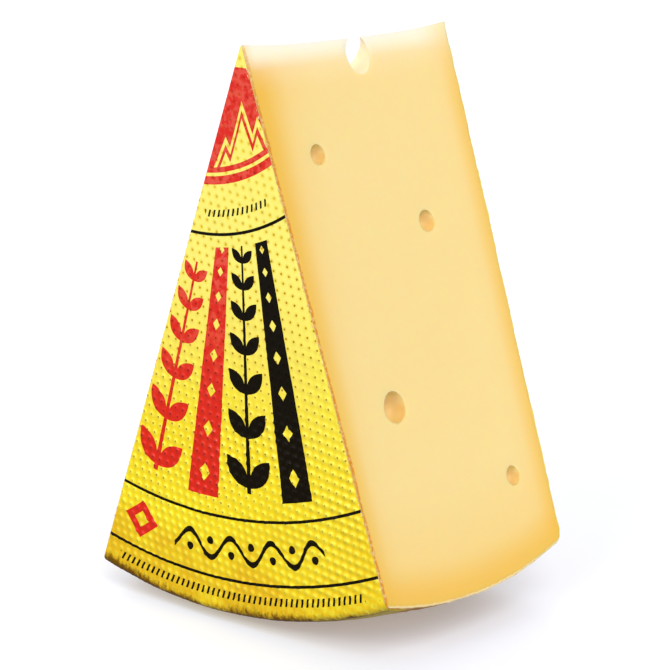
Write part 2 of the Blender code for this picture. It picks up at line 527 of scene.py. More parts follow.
def layered(point, height, size, layers):
    """Smooth noise with smaller and smaller layers, up and down by about a height."""
    return height * noise.fractal(point / size, *LAYERING, layers)


def rind_relief(point):
    """Height of the rind over its plain form."""
    spots = noise.noise(point / PIT_SPACING + Vector((7.0, 3.0, 1.0)))
    pit = RIND_PIT * max(0.0, spots - PIT_FROM) / PIT_RISE
    return layered(point, *RIND_SWELL) + layered(point, *RIND_WRINKLE) - pit


def cut_relief(point, depth):
    """Height of the cut paste over its plain form, ragged near the rind."""
    near = max(0.0, 1 - depth / CRUMBLE_BAND)
    chips = 0.5 + layered(point, *CHIPS)
    return layered(point, *CUT_WAVE) - CRUMBLE * near * max(0.0, chips)


def lip_drop(point):
    """How far the cut sinks just outside a bubble's lip."""
    for middle, radii in BUBBLES:
        outside = (point - middle).length - max(radii)
        if outside < LIP_BAND:
            return LIP_DROP * (1 - max(0.0, outside + LIP_START) / (LIP_BAND + LIP_START)) ** 2
    return 0.0


def raise_relief(piece):
    """Move every corner by the relief that suits its place."""
    mesh = piece.data
    floor = WHEEL_CENTRE_Z - RIM_RADIUS + REST_FLAT_DEPTH
    normals = [v.normal.copy() for v in mesh.vertices]
    for i, point in enumerate(points):
        front, back, rim, _, _ = depths[i]
        nearest = min(front, back, rim)
        if on_wall[i]:
            height = layered(point, *WALL_WAVE)
        elif nearest < SKIN_BAND:
            height = rind_relief(point)
            if front < SKIN_BAND and rim > UNDER_FOIL_FROM:
                height = -abs(UNDER_FOIL * height)
            height -= CRUMBLE * RIND_SET_IN
        else:
            height = cut_relief(point, nearest) - lip_drop(point)
        moved = point + normals[i] * height
        moved.z = max(moved.z, floor)
        mesh.vertices[i].co = moved + PLACE
    mesh.shade_smooth()
    mesh.set_sharp_from_angle(angle=SHARP_FROM)


raise_relief(cheese_body)
print("Top of the cheese, mm:", round(max(v.co.z for v in cheese_body.data.vertices) / MM, 2))

# %% [markdown]
# Shader sums get hard to read as lists of nodes. This small class lets a varying number
# be added, multiplied or compared like an ordinary one, and makes the node behind each
# step. Everything about a finish can then be said in a few lines.

# %% Numbers that vary over a surface


def set_sockets(node, values):
    """Give a node's sockets fixed values, by name."""
    for name, value in values.items():
        node.inputs[name].default_value = value


class Field:
    """A number that varies over a surface, with a shader node behind each sum."""

    def __init__(self, tree, socket):
        self.tree = tree
        self.socket = socket

    def step(self, operation, *others):
        """This number, and any others, put through one Math node."""
        node = self.tree.nodes.new("ShaderNodeMath")
        node.operation = operation
        for slot, value in zip(node.inputs, (self,) + others):
            if isinstance(value, Field):
                self.tree.links.new(value.socket, slot)
            else:
                slot.default_value = value
        return Field(self.tree, node.outputs[0])

    __add__ = partialmethod(step, "ADD")
    __sub__ = partialmethod(step, "SUBTRACT")
    __mul__ = partialmethod(step, "MULTIPLY")
    __truediv__ = partialmethod(step, "DIVIDE")
    size = partialmethod(step, "ABSOLUTE")
    root = partialmethod(step, "SQRT")
    below = partialmethod(step, "LESS_THAN")
    above = partialmethod(step, "GREATER_THAN")
    least = partialmethod(step, "MINIMUM")
    most = partialmethod(step, "MAXIMUM")
    # One minus this number.
    against = partialmethod(step, "MULTIPLY_ADD", -1.0, 1.0)

    def squared(self):
        return self * self

    def swing(self, width):
        """Up and down by half a width, for a number that runs from 0 to 1."""
        return (self - 0.5) * width

    def line(self, start, slope):
        """A number that begins at a start and changes evenly with this one."""
        return self * slope + start

    def fade(self, start, end, strength=1.0):
        """A strength at the start distance, falling smoothly to 0 at the end distance."""
        node = self.tree.nodes.new("ShaderNodeMapRange")
        node.interpolation_type = "SMOOTHSTEP"
        self.tree.links.new(self.socket, node.inputs["Value"])
        set_sockets(node, {"From Min": start, "From Max": end, "To Min": strength, "To Max": 0.0})
        return Field(self.tree, node.outputs["Result"])


# %% Reading, noise and colour


def start_material(name):
    """A new material with its tree and its Principled shader."""
    material = bpy.data.materials.new(name)
    material.use_nodes = True
    tree = material.node_tree
    return material, tree, tree.nodes["Principled BSDF"]


def kept(tree, name):
    """A number kept on the mesh."""
    node = tree.nodes.new("ShaderNodeAttribute")
    node.attribute_name = name
    return Field(tree, node.outputs["Fac"])


def grain(tree, size, detail=2.0, roughness=0.5, stretch=(1.0, 1.0, 1.0)):
    """Noise from 0 to 1 whose largest grains are about a size across."""
    place = tree.nodes.new("ShaderNodeTexCoord")
    scaling = tree.nodes.new("ShaderNodeMapping")
    scaling.inputs["Scale"].default_value = stretch
    node = tree.nodes.new("ShaderNodeTexNoise")
    set_sockets(node, {"Scale": 1 / size, "Detail": detail, "Roughness": roughness})
    tree.links.new(place.outputs["Object"], scaling.inputs["Vector"])
    tree.links.new(scaling.outputs["Vector"], node.inputs["Vector"])
    return Field(tree, node.outputs["Fac"])


def blend(tree, base, other, amount):
    """A colour between two, by a varying amount."""
    node = tree.nodes.new("ShaderNodeMix")
    node.data_type = "RGBA"
    tree.links.new(amount.socket, node.inputs["Factor"])
    for socket, value in ((node.inputs[6], base), (node.inputs[7], other)):
        if isinstance(value, tuple):
            socket.default_value = (*value, 1.0)
        else:
            tree.links.new(value, socket)
    return node.outputs[2]


def tint(tree, base, shade, amount):
    """A colour multiplied by another, by a varying amount."""
    node = tree.nodes.new("ShaderNodeMix")
    node.data_type = "RGBA"
    node.blend_type = "MULTIPLY"
    tree.links.new(amount.socket, node.inputs["Factor"])
    tree.links.new(base, node.inputs[6])
    node.inputs[7].default_value = (*shade, 1.0)
    return node.outputs[2]


def add_bump(tree, shader, height, distance, strength=1.0):
    """Let a height in a surface's own units tilt its normals."""
    node = tree.nodes.new("ShaderNodeBump")
    set_sockets(node, {"Distance": distance, "Strength": strength})
    tree.links.new(height.socket, node.inputs["Height"])
    tree.links.new(node.outputs["Normal"], shader.inputs["Normal"])


print("Helpers for finishes are ready")

# %% [markdown]
# The paste is pale yellow, waxy and slightly translucent. Towards the rind it dries and
# turns gold, in a band that fades over about a centimetre. The light shines through the
# thin tip, which looks almost white; that glow is painted light, a paler paste near the
# tip. The eyes' walls are painted paler at the top and darker at the foot, as painted
# light and painted shade. The rind shows as a ragged orange-brown line with a pale
# crumbly line next to it, and bare rind is the same brown with a light bloom. Next to the
# cuts the rim is painted brighter, as painted light on its shaded underside. Layers of
# colour over distance give each of these. A little scattering under the surface softens
# the light as real cheese does.

# %% Colours of paste and rind
PASTE = (0.928, 0.712, 0.302)
PASTE_DEEP = (0.915, 0.650, 0.220)
GOLD = (0.885, 0.518, 0.060)
# Painted light: the glow of light shining through the thin tip.
TIP_PAINTED_GLOW = (0.985, 0.880, 0.700)
# Painted light and shade: eye and notch walls, paler at the top and darker at the foot.
EYE_TOP_PAINTED_LIGHT = (1.000, 0.850, 0.440)
EYE_FOOT_PAINTED_SHADE = (0.790, 0.535, 0.175)
NOTCH_TOP_PAINTED_LIGHT = (0.965, 0.765, 0.550)
NOTCH_FOOT_PAINTED_SHADE = (0.935, 0.715, 0.455)
RIND_EDGE = (0.740, 0.275, 0.012)
RIND_BROWN = (0.560, 0.225, 0.030)
RIND_LIGHT = (0.700, 0.360, 0.095)
RIND_DARK = (0.300, 0.110, 0.018)
# Painted light: a brighter rind colour on the shaded underside next to the cuts.
RIND_PAINTED_LIGHT = (0.970, 0.680, 0.260)
CREAM = (0.960, 0.750, 0.430)
# Light goes a few millimetres into the paste, red light the farthest.
WAXY = {
    "Roughness": 0.52,
    "Subsurface Weight": 0.50,
    "Subsurface Radius": (1.0, 0.60, 0.30),
    "Subsurface Scale": 4.0 * MM,
}

# %% Where the paste's colours lie
# A fade is given by where it starts, where it ends and how strong it is, if not fully.
# Along a distance it is in mm, and over a noise it goes by the noise's own 0 to 1.
# The gold bands in from the front, the rim and the back are sums of two fades.
FRONT_BANDS = ((0.5, 8.5, 0.62), (1.0, 16.0, 0.36))
RIM_BANDS = ((2.0, 13.0, 0.62), (8.0, 34.0, 0.22))
BACK_BANDS = ((-1.0, 8.0, 0.62), (2.0, 14.0, 0.20))
# The front band is wide and deep at the tip. Towards the rim it narrows and weakens, by
# a little for each mm.
FRONT_NARROWS = (0.5, 0.006)
FRONT_WEAKENS = (1.05, -0.0023)
BACK_WEAK_AT_TIP = (3.0, 24.0, 0.55)
TIP_GLOW = (2.2, 9.5)
TIP_HAZE = (0.0, 14.0, 0.45)
GLOW_WEAK_AT_BACK = (0.5, 15.0, 0.60)
GLOW_WEAK_AT_FRONT = (0.6, 4.0, 0.35)
NOTCH_REACH = (12.0, 14.0)
# From top to bottom of a bubble, whose height runs from 1 to -1. The walls are painted
# paler at the top, where shade falls, and darker at the foot: painted light and shade.
EYE_SHADING = (0.75, -0.35)
NOTCH_SHADING = (0.6, -0.9)
CLOUD_SIZE = 30.0 * MM
CLOUD_DEPTH = (-0.105, 0.30)
PASTE_GRAIN = 1.2 * MM
GRAIN_DEPTH = 0.12


def band_amount(depth, fades):
    """A band that is strongest at the rind and fades inwards."""
    total = depth * 0.0
    for fade in fades:
        total = total + depth.fade(*fade)
    return total


def paste_colour(tree, front, back, rim, tip):
    """Paste from pale middle to gold edge, with painted light and shade in the eyes and a painted
    glow at the tip.
    """
    clouds = grain(tree, CLOUD_SIZE).line(*CLOUD_DEPTH)
    fine = grain(tree, PASTE_GRAIN, detail=3.0).swing(GRAIN_DEPTH)
    base = blend(tree, PASTE, PASTE_DEEP, clouds + fine)
    by_front = band_amount(front * tip.line(*FRONT_NARROWS), FRONT_BANDS)
    by_front = by_front * tip.line(*FRONT_WEAKENS)
    by_rim = band_amount(rim, RIM_BANDS)
    by_back = band_amount(back, BACK_BANDS) * tip.fade(*BACK_WEAK_AT_TIP).against()
    pale = by_front.against() * by_rim.against() * by_back.against()
    base = blend(tree, base, GOLD, pale.against())
    # Painted light: the thin tip is painted paler, in place of light shining through it.
    glow = tip.fade(*TIP_GLOW).most(tip.fade(*TIP_HAZE))
    glow = glow * back.fade(*GLOW_WEAK_AT_BACK).against()
    glow = glow * front.fade(*GLOW_WEAK_AT_FRONT).against()
    base = blend(tree, base, TIP_PAINTED_GLOW, glow)
    eye = kept(tree, "in_eye")
    height = kept(tree, "eye_height")
    at_tip = tip.fade(*NOTCH_REACH)
    # Painted light and shade: each eye's wall is paler at the top and darker at the foot.
    eye_wall_painted_light = blend(tree, EYE_FOOT_PAINTED_SHADE, EYE_TOP_PAINTED_LIGHT, height.fade(*EYE_SHADING))
    base = blend(tree, base, eye_wall_painted_light, eye * at_tip.against())
    notch_wall_painted_light = blend(tree, NOTCH_FOOT_PAINTED_SHADE, NOTCH_TOP_PAINTED_LIGHT, height.fade(*NOTCH_SHADING))
    return blend(tree, base, notch_wall_painted_light, eye * at_tip)


# %% Bare rind
BLOTCH_SIZE = 9.0 * MM
LIGHT_BLOTCH = (0.66, 0.36)
SPECK_SIZE = 1.4 * MM
DARK_SPECK = (0.36, 0.46, 0.60)
PALE_SPECK = (0.70, 0.56, 0.40)
# Next to the cuts the rim is painted brighter, as painted light on its shaded underside, but not
# near the wheel's back face.
PAINTED_LIGHT_BY_CUT = (0.6, 2.8, 0.85)
PAINTED_LIGHT_FROM_BACK = 3.0


def rind_colour(tree):
    """Washed rind: orange-brown with pits and pale bloom, and painted brighter along the rim's
    cuts as painted light.
    """
    blotch = grain(tree, BLOTCH_SIZE, detail=5.0, roughness=0.6)
    speck = grain(tree, SPECK_SIZE, detail=4.0, roughness=0.65)
    base = blend(tree, RIND_BROWN, RIND_LIGHT, blotch.fade(*LIGHT_BLOTCH))
    base = blend(tree, base, RIND_DARK, speck.fade(*DARK_SPECK))
    base = blend(tree, base, CREAM, speck.fade(*PALE_SPECK))
    painted_light_by_cut = kept(tree, "from_cut").fade(*PAINTED_LIGHT_BY_CUT)
    painted_light_by_cut = painted_light_by_cut * kept(tree, "from_back").above(PAINTED_LIGHT_FROM_BACK)
    return blend(tree, base, RIND_PAINTED_LIGHT, painted_light_by_cut)


# %% The whole cheese
# The lines of colour along the rind are ragged: the sizes of their jags, and how far
# these swing to and fro, in mm.
JAG_SIZE = 1.1 * MM
SLOW_JAG_SIZE = 6.0 * MM
FRONT_JAG = 1.0
FRONT_SLOW_JAG = 0.8
RIM_JAG = 1.2
RIM_PALE_LINE = (0.45, 0.85, 0.85)
RIM_LINE = (0.08, 0.20)
FRONT_LINE = (0.80, 1.15)
LINE_WEAK_AT_TIP = (4.0, 22.0, 0.45)
FLECK_SIZE = 0.9 * MM
FLECK_EDGE = (0.58, 0.52)
FLECK_BAND = (0.70, 1.10, 0.50)
# What counts as bare rind, by its depth in mm from a face or from a cut.
RIND_DEPTH = 0.12
RIND_DEPTH_BACK = 0.03
RIND_FROM_CUT = 0.6
WAX_GRAIN = 0.7 * MM
WAX_BUMP = 0.06 * MM


def make_cheese_finish():
    """One finish for the whole cheese, from rind to paste."""
    material, tree, shader = start_material("cheese_finish")
    front = kept(tree, "from_front")
    back = kept(tree, "from_back")
    rim = kept(tree, "from_rim")
    tip = kept(tree, "from_tip")
    paste = paste_colour(tree, front, back, rim, tip)
    jag = grain(tree, JAG_SIZE, detail=3.0, roughness=0.6)
    slow_jag = grain(tree, SLOW_JAG_SIZE)
    front_edge = front + jag.swing(FRONT_JAG) + slow_jag.swing(FRONT_SLOW_JAG)
    rim_edge = rim + jag.swing(RIM_JAG)
    shade = blend(tree, paste, CREAM, rim_edge.fade(*RIM_PALE_LINE))
    rind_line = front_edge.fade(*FRONT_LINE) * tip.fade(*LINE_WEAK_AT_TIP).against()
    rind_line = rind_line.most(rim_edge.fade(*RIM_LINE))
    shade = blend(tree, shade, RIND_EDGE, rind_line)
    flecks = grain(tree, FLECK_SIZE, detail=3.0, roughness=0.65).fade(*FLECK_EDGE)
    shade = blend(tree, shade, CREAM, flecks * front_edge.fade(*FLECK_BAND))
    outside = kept(tree, "from_cut").above(RIND_FROM_CUT) * kept(tree, "in_eye").below(0.5)
    skin = front.least(rim).below(RIND_DEPTH).most(back.below(RIND_DEPTH_BACK)).most(outside)
    shade = blend(tree, shade, rind_colour(tree), skin)
    tree.links.new(shade, shader.inputs["Base Color"])
    add_bump(tree, shader, grain(tree, WAX_GRAIN, detail=3.0), WAX_BUMP, 0.5)
    set_sockets(shader, WAXY)
    return material


cheese_finish = make_cheese_finish()
cheese_body.data.materials.clear()
cheese_body.data.materials.append(cheese_finish)
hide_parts("cheese")
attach(cheese_body, "root")
print("Cheese finish nodes:", len(cheese_finish.node_tree.nodes))

# %% [markdown]
# The label is a sheet of foil-faced paper, a tenth of a millimetre thick. It covers the
# wheel's flat face and turns under round the rim. It is pressed all over with small
# dots, in rows that lean a little. Each dot is a pricked pit. Low down, where the foil
# has been rubbed against the rind, a low dome has risen round each pit. The sheet is
# built as rows of points a third of a millimetre apart, which is fine enough for every
# dot to be real relief.

# %% The seat of the label
LABEL_TIP = 0.0005
LABEL_WRAP = 0.0060
FOIL_STEP = 0.32 * MM
FOIL_THICKNESS = 0.08 * MM
FOIL_SINK = 0.10 * MM
RUN_STEP = 0.002


def label_seat(angle, station):
    """A point of the skin under the label. Stations 0 to 1 run down the flat face, 1 to 2
    round the edge, and 2 to 3 in under the rim."""
    if station <= 1:
        edge = rim_point(angle, 0.0)
        top = tip_point(0.0).lerp(edge, LABEL_TIP / edge.length)
        return top.lerp(edge, station)
    if station <= 2:
        depth = FRONT_ROUND * (1 - math.cos(math.pi / 2 * (station - 1)))
    else:
        depth = FRONT_ROUND + LABEL_WRAP * (station - 2)
    share = depth / RIM_THICKNESS
    return rim_point(angle * (1 - rim_slip(share) / HALF_ANGLE), share)


def seat_normal(angle, station):
    """The way out from the skin, square to the label's own run."""
    before = label_seat(angle, max(0.0, station - RUN_STEP))
    after = label_seat(angle, min(3.0, station + RUN_STEP))
    run = (after - before).normalized()
    down = Vector((math.sin(angle), 0.0, -math.cos(angle)))
    back = Vector((0.0, 1.0, 0.0))
    return (down * run.dot(back) - back * run.dot(down)).normalized()


def print_down(angle, station):
    """Distance down the printed sheet, as if it were laid out flat."""
    point = label_seat(angle, min(station, 1.0))
    turned = min(max(station - 1, 0.0), 1.0) * FRONT_ROUND * math.pi / 2
    under = max(station - 2, 0.0) * LABEL_WRAP
    return -point.z + turned + under


# %% Rows of the sheet


def label_stations():
    """Stations of the rows, a foil step apart on the flat, the turn and the wrap."""
    flat = even_steps(0.0, 1.0, FOIL_STEP / RIM_RADIUS)
    turn = even_steps(1.0, 2.0, FOIL_STEP / (FRONT_ROUND * math.pi / 2))
    wrap = even_steps(2.0, 3.0, FOIL_STEP / LABEL_WRAP)
    return flat + turn + wrap + [3.0]


stations = label_stations()
print("Rows of the sheet:", len(stations))

# %% [markdown]
# The dots lie on a slanting lattice, with two steps measured on the photo. A slow drift
# keeps the rows from being ruler-straight. Each corner keeps its place in the lattice
# as two numbers, so the shader can colour the pricked middles exactly where the relief
# has its pits.

# %% The dot lattice
DOT_STEP_A = (2.66, 0.35)
DOT_STEP_B = (0.64, 2.47)
DOT_DRIFT = 0.16
DRIFT_SIZE = 9.0
PIT_DEPTH = 0.18
PIT_WIDTH = 0.40
# How much shallower the pits are where the domes have risen, and how much the dots differ.
PIT_FILLED = 0.4
DOT_UNEVEN = 0.5
DOME_HEIGHT = 0.56
DOME_WIDTH = 0.58
DOME_START = 58.0
DOME_FULL = 108.0
# On the right the domes of a row run together into ridges: where that starts, and over
# what distance it grows.
RIDGE_START = 2.0
RIDGE_SPAN = 28.0
RIDGE_JOIN = 0.34
# The height of the domes near the tip, as a share of the low ones.
TIP_DOME = 0.12
# The domes rise more in some patches: the middle and the swing of their height, and how
# far across the patches are.
PATCH_HEIGHT = (0.75, 0.5)
PATCH_SIZE = 14.0
CRINKLE = 0.09
CRINKLE_SIZE = 7.0
PLEAT_HEIGHT = 0.14
PLEAT_WIDTH = 1.1
PLEAT_LENGTH = 6.0
PLEAT_REACH = 6.0
# The domes are rubbed flat over this height above the fold.
FLAT_FOOT = 4.5
# The foil lies flat along both cuts, where the knife pressed it down.
FLAT_SIDE = 0.9


def lattice_place(across, down):
    """Steps along both directions of the lattice, for a place on the sheet in mm."""
    spot = Vector((across, down, 0.0))
    across += DOT_DRIFT * noise.noise(spot / DRIFT_SIZE)
    down += DOT_DRIFT * noise.noise(spot / DRIFT_SIZE + Vector((0.0, 0.0, 5.0)))
    spread = DOT_STEP_A[0] * DOT_STEP_B[1] - DOT_STEP_A[1] * DOT_STEP_B[0]
    a = (across * DOT_STEP_B[1] - down * DOT_STEP_B[0]) / spread
    b = (down * DOT_STEP_A[0] - across * DOT_STEP_A[1]) / spread
    return a, b


def share_of(value, start, span):
    """How far a value has come over a span: 0 before it, 1 after it."""
    return min(1.0, max(0.0, (value - start) / span))


def risen(down):
    """How far the domes have risen at a distance down the sheet, from 0 to 1."""
    return share_of(down, DOME_START, DOME_FULL - DOME_START)


def dot_offset(u, v):
    """How far across and down a place is from a dot, for steps of the lattice."""
    return u * DOT_STEP_A[0] + v * DOT_STEP_B[0], u * DOT_STEP_A[1] + v * DOT_STEP_B[1]


def dome_form(u, v, across, down):
    """The form of the foil round a dot, u and v steps from the dot's middle: 1 on top."""
    joined = RIDGE_JOIN * risen(down) * share_of(across, RIDGE_START, RIDGE_SPAN)
    x, y = dot_offset(u * (1 - joined), v)
    return math.exp(-(x * x + y * y) / DOME_WIDTH ** 2)


def foil_height(across, down, fold, a, b):
    """Height of the foil in mm, and how much of a valley a place is between the domes."""
    u = a - math.floor(a) - 0.5
    v = b - math.floor(b) - 0.5
    rise = risen(down)
    form = dome_form(u, v, across, down)
    patch = noise.noise(Vector((across, down, 0.0)) / PATCH_SIZE)
    patch = (PATCH_HEIGHT[0] + PATCH_HEIGHT[1] * patch) * share_of(-fold, 0.0, FLAT_FOOT)
    dome = DOME_HEIGHT * (TIP_DOME + (1 - TIP_DOME) * rise) * patch * form
    x, y = dot_offset(u, v)
    lot = Vector((math.floor(a) * 0.37, math.floor(b) * 0.53, 2.0))
    strength = 1 + DOT_UNEVEN * noise.noise(lot * 3.1)
    pit = PIT_DEPTH * (1 - PIT_FILLED * rise) * math.exp(-(x * x + y * y) / PIT_WIDTH ** 2)
    spot = Vector((across, down, 3.0))
    crinkle = layered(spot, CRINKLE, CRINKLE_SIZE, 3)
    near_fold = 1 - share_of(abs(fold), 0.0, PLEAT_REACH)
    along = Vector((across / PLEAT_WIDTH, down / PLEAT_LENGTH, 9.0))
    pleat = PLEAT_HEIGHT * near_fold * noise.noise(along)
    return (dome - pit) * strength + crinkle + pleat, rise * (1 - math.sqrt(form))


# %% Build the sheet


def label_sheet():
    """Corners, faces and print numbers of the outer side of the foil."""
    verts = []
    faces = []
    numbers = []
    upper = None
    upper_shares = None
    for station in stations:
        width = 2 * HALF_ANGLE * RIM_RADIUS * min(station, 1.0)
        shares = row_shares(width, FOIL_STEP)
        row = []
        for t in shares:
            angle = HALF_ANGLE * (1 - 2 * t)
            seat = label_seat(angle, station)
            across = seat.x / MM
            down = print_down(angle, station) / MM
            fold = down - print_down(angle, 1.0) / MM
            a, b = lattice_place(across, down)
            height, valley = foil_height(across, down, fold, a, b)
            height *= share_of(min(t, 1 - t) * width / MM, 0.0, FLAT_SIDE)
            lift = FOIL_SEAT - FOIL_SINK + height * MM
            row.append(len(verts))
            verts.append(seat + seat_normal(angle, station) * lift)
            numbers.append((across, down, fold, a, b, valley))
        if upper:
            stitch(faces, upper, upper_shares, row, shares)
        upper = row
        upper_shares = shares
    return verts, faces, numbers


def thicken(verts, faces, numbers, thickness):
    """Close the sheet with an inner side and an edge all round."""
    mesh = bpy.data.meshes.new("sheet_sides")
    mesh.from_pydata([tuple(v) for v in verts], [], faces)
    mesh.update()
    normals = [v.normal.copy() for v in mesh.vertices]
    count = len(verts)
    forward = sum(n.y for n in normals) < 0
    way = -thickness if forward else thickness
    inner = [v + n * way for v, n in zip(verts, normals)]
    used = {}
    for face in faces:
        for i in range(3):
            edge = (face[i], face[(i + 1) % 3])
            if (edge[1], edge[0]) in used:
                del used[(edge[1], edge[0])]
            else:
                used[edge] = True
    closed = list(faces)
    closed += [tuple(count + i for i in reversed(face)) for face in faces]
    closed += [(b, a, count + a, count + b) for a, b in used]
    bpy.data.meshes.remove(mesh)
    return verts + inner, closed, numbers + numbers


sheet = thicken(*label_sheet(), FOIL_THICKNESS)
label_skin = add_mesh("label_skin", sheet[0], sheet[1])
SHEET_NUMBERS = ("print_across", "print_down", "past_fold", "dot_a", "dot_b", "valley")
for number, name in enumerate(SHEET_NUMBERS):
    keep_numbers(label_skin.data, name, [n[number] for n in sheet[2]])
label_skin.data.shade_smooth()
label_skin.data.set_sharp_from_angle(angle=math.radians(60))
print("Label:", len(label_skin.data.polygons), "faces")

# %% [markdown]
# The print is flat colour on yellow foil. Thin black arcs share one middle point near
# the wheel's axis, and the columns fan out from a point just under the tip. The motifs
# are plain ones of a kind that any dairy's label could bear: a row of peaks on a red
# field, leafy branches, bands with lozenges, and a waving line. Each is a rule on the
# distance from a line or a curve, so its edge is sharp at any size.

# %% Places of the print, in mm
ARC_MIDDLE = (-15.5, -8.1)
ARC_RADII = (59.2, 136.4, 153.9)
ARC_HALF_WIDTH = 0.42
FAN_MIDDLE = (-1.6, 6.0)
COLUMN_START = 62.6
COLUMN_END = 131.3
FIELD_TOP = 5.9
FIELD_FOOT = 46.0
FIELD_LINE = (42.9, 43.8)
PEAK_FOOT = 41.5
# Each peak is: its place across, half its width at the foot, and its height.
PEAKS = ((0.2, 6.0, 14.0), (-5.4, 4.2, 7.5), (5.6, 4.2, 8.0))
PEAK_LINE = (2.0, 3.9)


def polar(tree, middle):
    """Distance from a point of the sheet, and the angle from straight down."""
    x = kept(tree, "print_across") - middle[0]
    y = kept(tree, "print_down") - middle[1]
    distance = (x.squared() + y.squared()).root()
    return distance, x.step("ARCTAN2", y)


def between(value, low, high):
    """1 where a number lies between two others."""
    return value.above(low) * value.below(high)


def lozenge(x, y, width, height):
    """A diamond about the origin."""
    return (x.size() / width + y.size() / height).below(1.0)


def repeat(distance, foot, ratio):
    """Place within a repeat that shrinks upwards from a foot, -half to half its step."""
    step = math.log(ratio)
    turns = (distance / foot).step("LOGARITHM", math.e) / step
    return (turns.step("FRACT") - 0.5) * step


# %% Branches and bands
BRANCH_RATIO = 1.1395
LEAF_PLACE = (0.037, -0.006)
LEAF_SIZE = (0.052, 0.0245)
LEAF_TILT = math.radians(-46)
STEM_HALF_WIDTH = 0.0064
BAND_HALF_WIDTH = 0.047
LOZENGE_RATIO = 1.125
LOZENGE_SIZE = (0.017, 0.023)
# Where the columns stand: the angle in the fan, where a repeat ends, and pairs of leaves.
RED_BAND = (-0.108, 117.9)
BLACK_BAND = (0.186, 114.4)
RED_BRANCH = (-0.262, 120.2, 6)
BLACK_BRANCH = (0.036, 116.0, 7)


def leaf(x, y):
    """One pointed leaf of a pair: 1 inside, 0 outside."""
    dx = x - LEAF_PLACE[0]
    dy = y - LEAF_PLACE[1]
    along = dx * math.cos(LEAF_TILT) + dy * math.sin(LEAF_TILT)
    aside = dy * math.cos(LEAF_TILT) - dx * math.sin(LEAF_TILT)
    return (aside.size() / LEAF_SIZE[1] + (along / LEAF_SIZE[0]).squared()).below(1.0)


def branch(distance, angle, at, foot, pairs):
    """A stem with pairs of leaves that grow with the distance from the tip."""
    x = angle - at
    top = foot / BRANCH_RATIO ** pairs
    leaves = leaf(x.size(), repeat(distance, foot, BRANCH_RATIO))
    stem = x.size().below(STEM_HALF_WIDTH) * distance.below(foot * 0.98)
    return leaves.most(stem) * between(distance, top, foot)


def band(distance, angle, at, foot):
    """A stripe of the fan with a row of lozenges left open in it."""
    stripe = (angle - at).size().below(BAND_HALF_WIDTH)
    marks = lozenge(angle - at, repeat(distance, foot, LOZENGE_RATIO), *LOZENGE_SIZE)
    return stripe * marks.against()


# %% Peaks, strokes and wave
STROKE_LEAN = 0.45
STROKE_HALF_WIDTH = 0.20
BERRY_RADIUS = 1.14


def peak(x, middle, half_width, height):
    """Height of one mountain over its foot."""
    return ((x - middle).size() / half_width).against() * height


def peaks(arc, x):
    """Three mountains on an arc, each with a line inside its edge."""
    skyline = peak(x, *PEAKS[0])
    for lower in PEAKS[1:]:
        skyline = skyline.most(peak(x, *lower))
    above_foot = (arc - PEAK_FOOT) * -1.0
    below_sky = skyline - above_foot
    line = between(below_sky, *PEAK_LINE)
    return above_foot.above(0.0) * below_sky.above(0.0) * line.against()


def strokes(arc, turn, radius, pitch, height):
    """A border of short slanting strokes along an arc."""
    rise = arc - radius
    place = (turn * (radius / pitch) + rise * (STROKE_LEAN / height)).step("FRACT") - 0.5
    return place.size().below(STROKE_HALF_WIDTH) * rise.size().below(height / 2)


def wave(arc, turn, radius, length, height, half_width):
    """A waving line along an arc, with a berry in each of its bends."""
    rise = arc - radius
    place = turn * (radius / length)
    swing = (place * (2 * math.pi)).step("SINE") * height
    line = (rise - swing).size().below(half_width)
    along = ((place * 2.0).step("FRACT") - 0.5) * (length / 2)
    berry = (along.squared() + (rise + swing * 0.5).squared()).below(BERRY_RADIUS ** 2)
    return line.most(berry)


# %% Red and black ink
# The open lozenge in the lower left.
MARK_TURN = 0.153
MARK_RADIUS = 145.0
MARK_OUTER = (6.2, 5.6)
MARK_INNER = (2.7, 2.4)
# Borders along the arcs: radius, pitch and height, and the angles where they start and end.
HIGH_STROKES = (53.6, 1.7, 1.9)
HIGH_ENDS = (0.05, 0.47)
FOOT_STROKES = (158.3, 1.9, 2.3)
FOOT_ENDS = (-0.195, 0.375)
# The wave: radius, length, height and half the line's width.
WAVE = (145.4, 15.0, 3.2, 0.85)
WAVE_ENDS = (-0.065, 0.31)


def red_ink(tree):
    """Where the red is printed."""
    arc, turn = polar(tree, ARC_MIDDLE)
    fan, angle = polar(tree, FAN_MIDDLE)
    field = kept(tree, "print_down").above(FIELD_TOP) * arc.below(FIELD_FOOT)
    picture = peaks(arc, kept(tree, "print_across")).most(between(arc, *FIELD_LINE))
    field = field * picture.against()
    stripe = band(fan, angle, *RED_BAND) * between(arc, COLUMN_START, COLUMN_END)
    twig = branch(fan, angle, *RED_BRANCH)
    along = (turn + MARK_TURN) * MARK_RADIUS
    down = arc - MARK_RADIUS
    mark = lozenge(along, down, *MARK_OUTER) * lozenge(along, down, *MARK_INNER).against()
    return field.most(stripe).most(twig).most(mark)


def black_ink(tree):
    """Where the black is printed."""
    arc, turn = polar(tree, ARC_MIDDLE)
    fan, angle = polar(tree, FAN_MIDDLE)
    ink = band(fan, angle, *BLACK_BAND) * between(arc, COLUMN_START, COLUMN_END)
    ink = ink.most(branch(fan, angle, *BLACK_BRANCH))
    for radius in ARC_RADII:
        ink = ink.most((arc - radius).size().below(ARC_HALF_WIDTH))
    ink = ink.most(strokes(arc, turn, *HIGH_STROKES) * between(turn, *HIGH_ENDS))
    ink = ink.most(strokes(arc, turn, *FOOT_STROKES) * between(turn, *FOOT_ENDS))
    return ink.most(wave(arc, turn, *WAVE) * between(turn, *WAVE_ENDS))


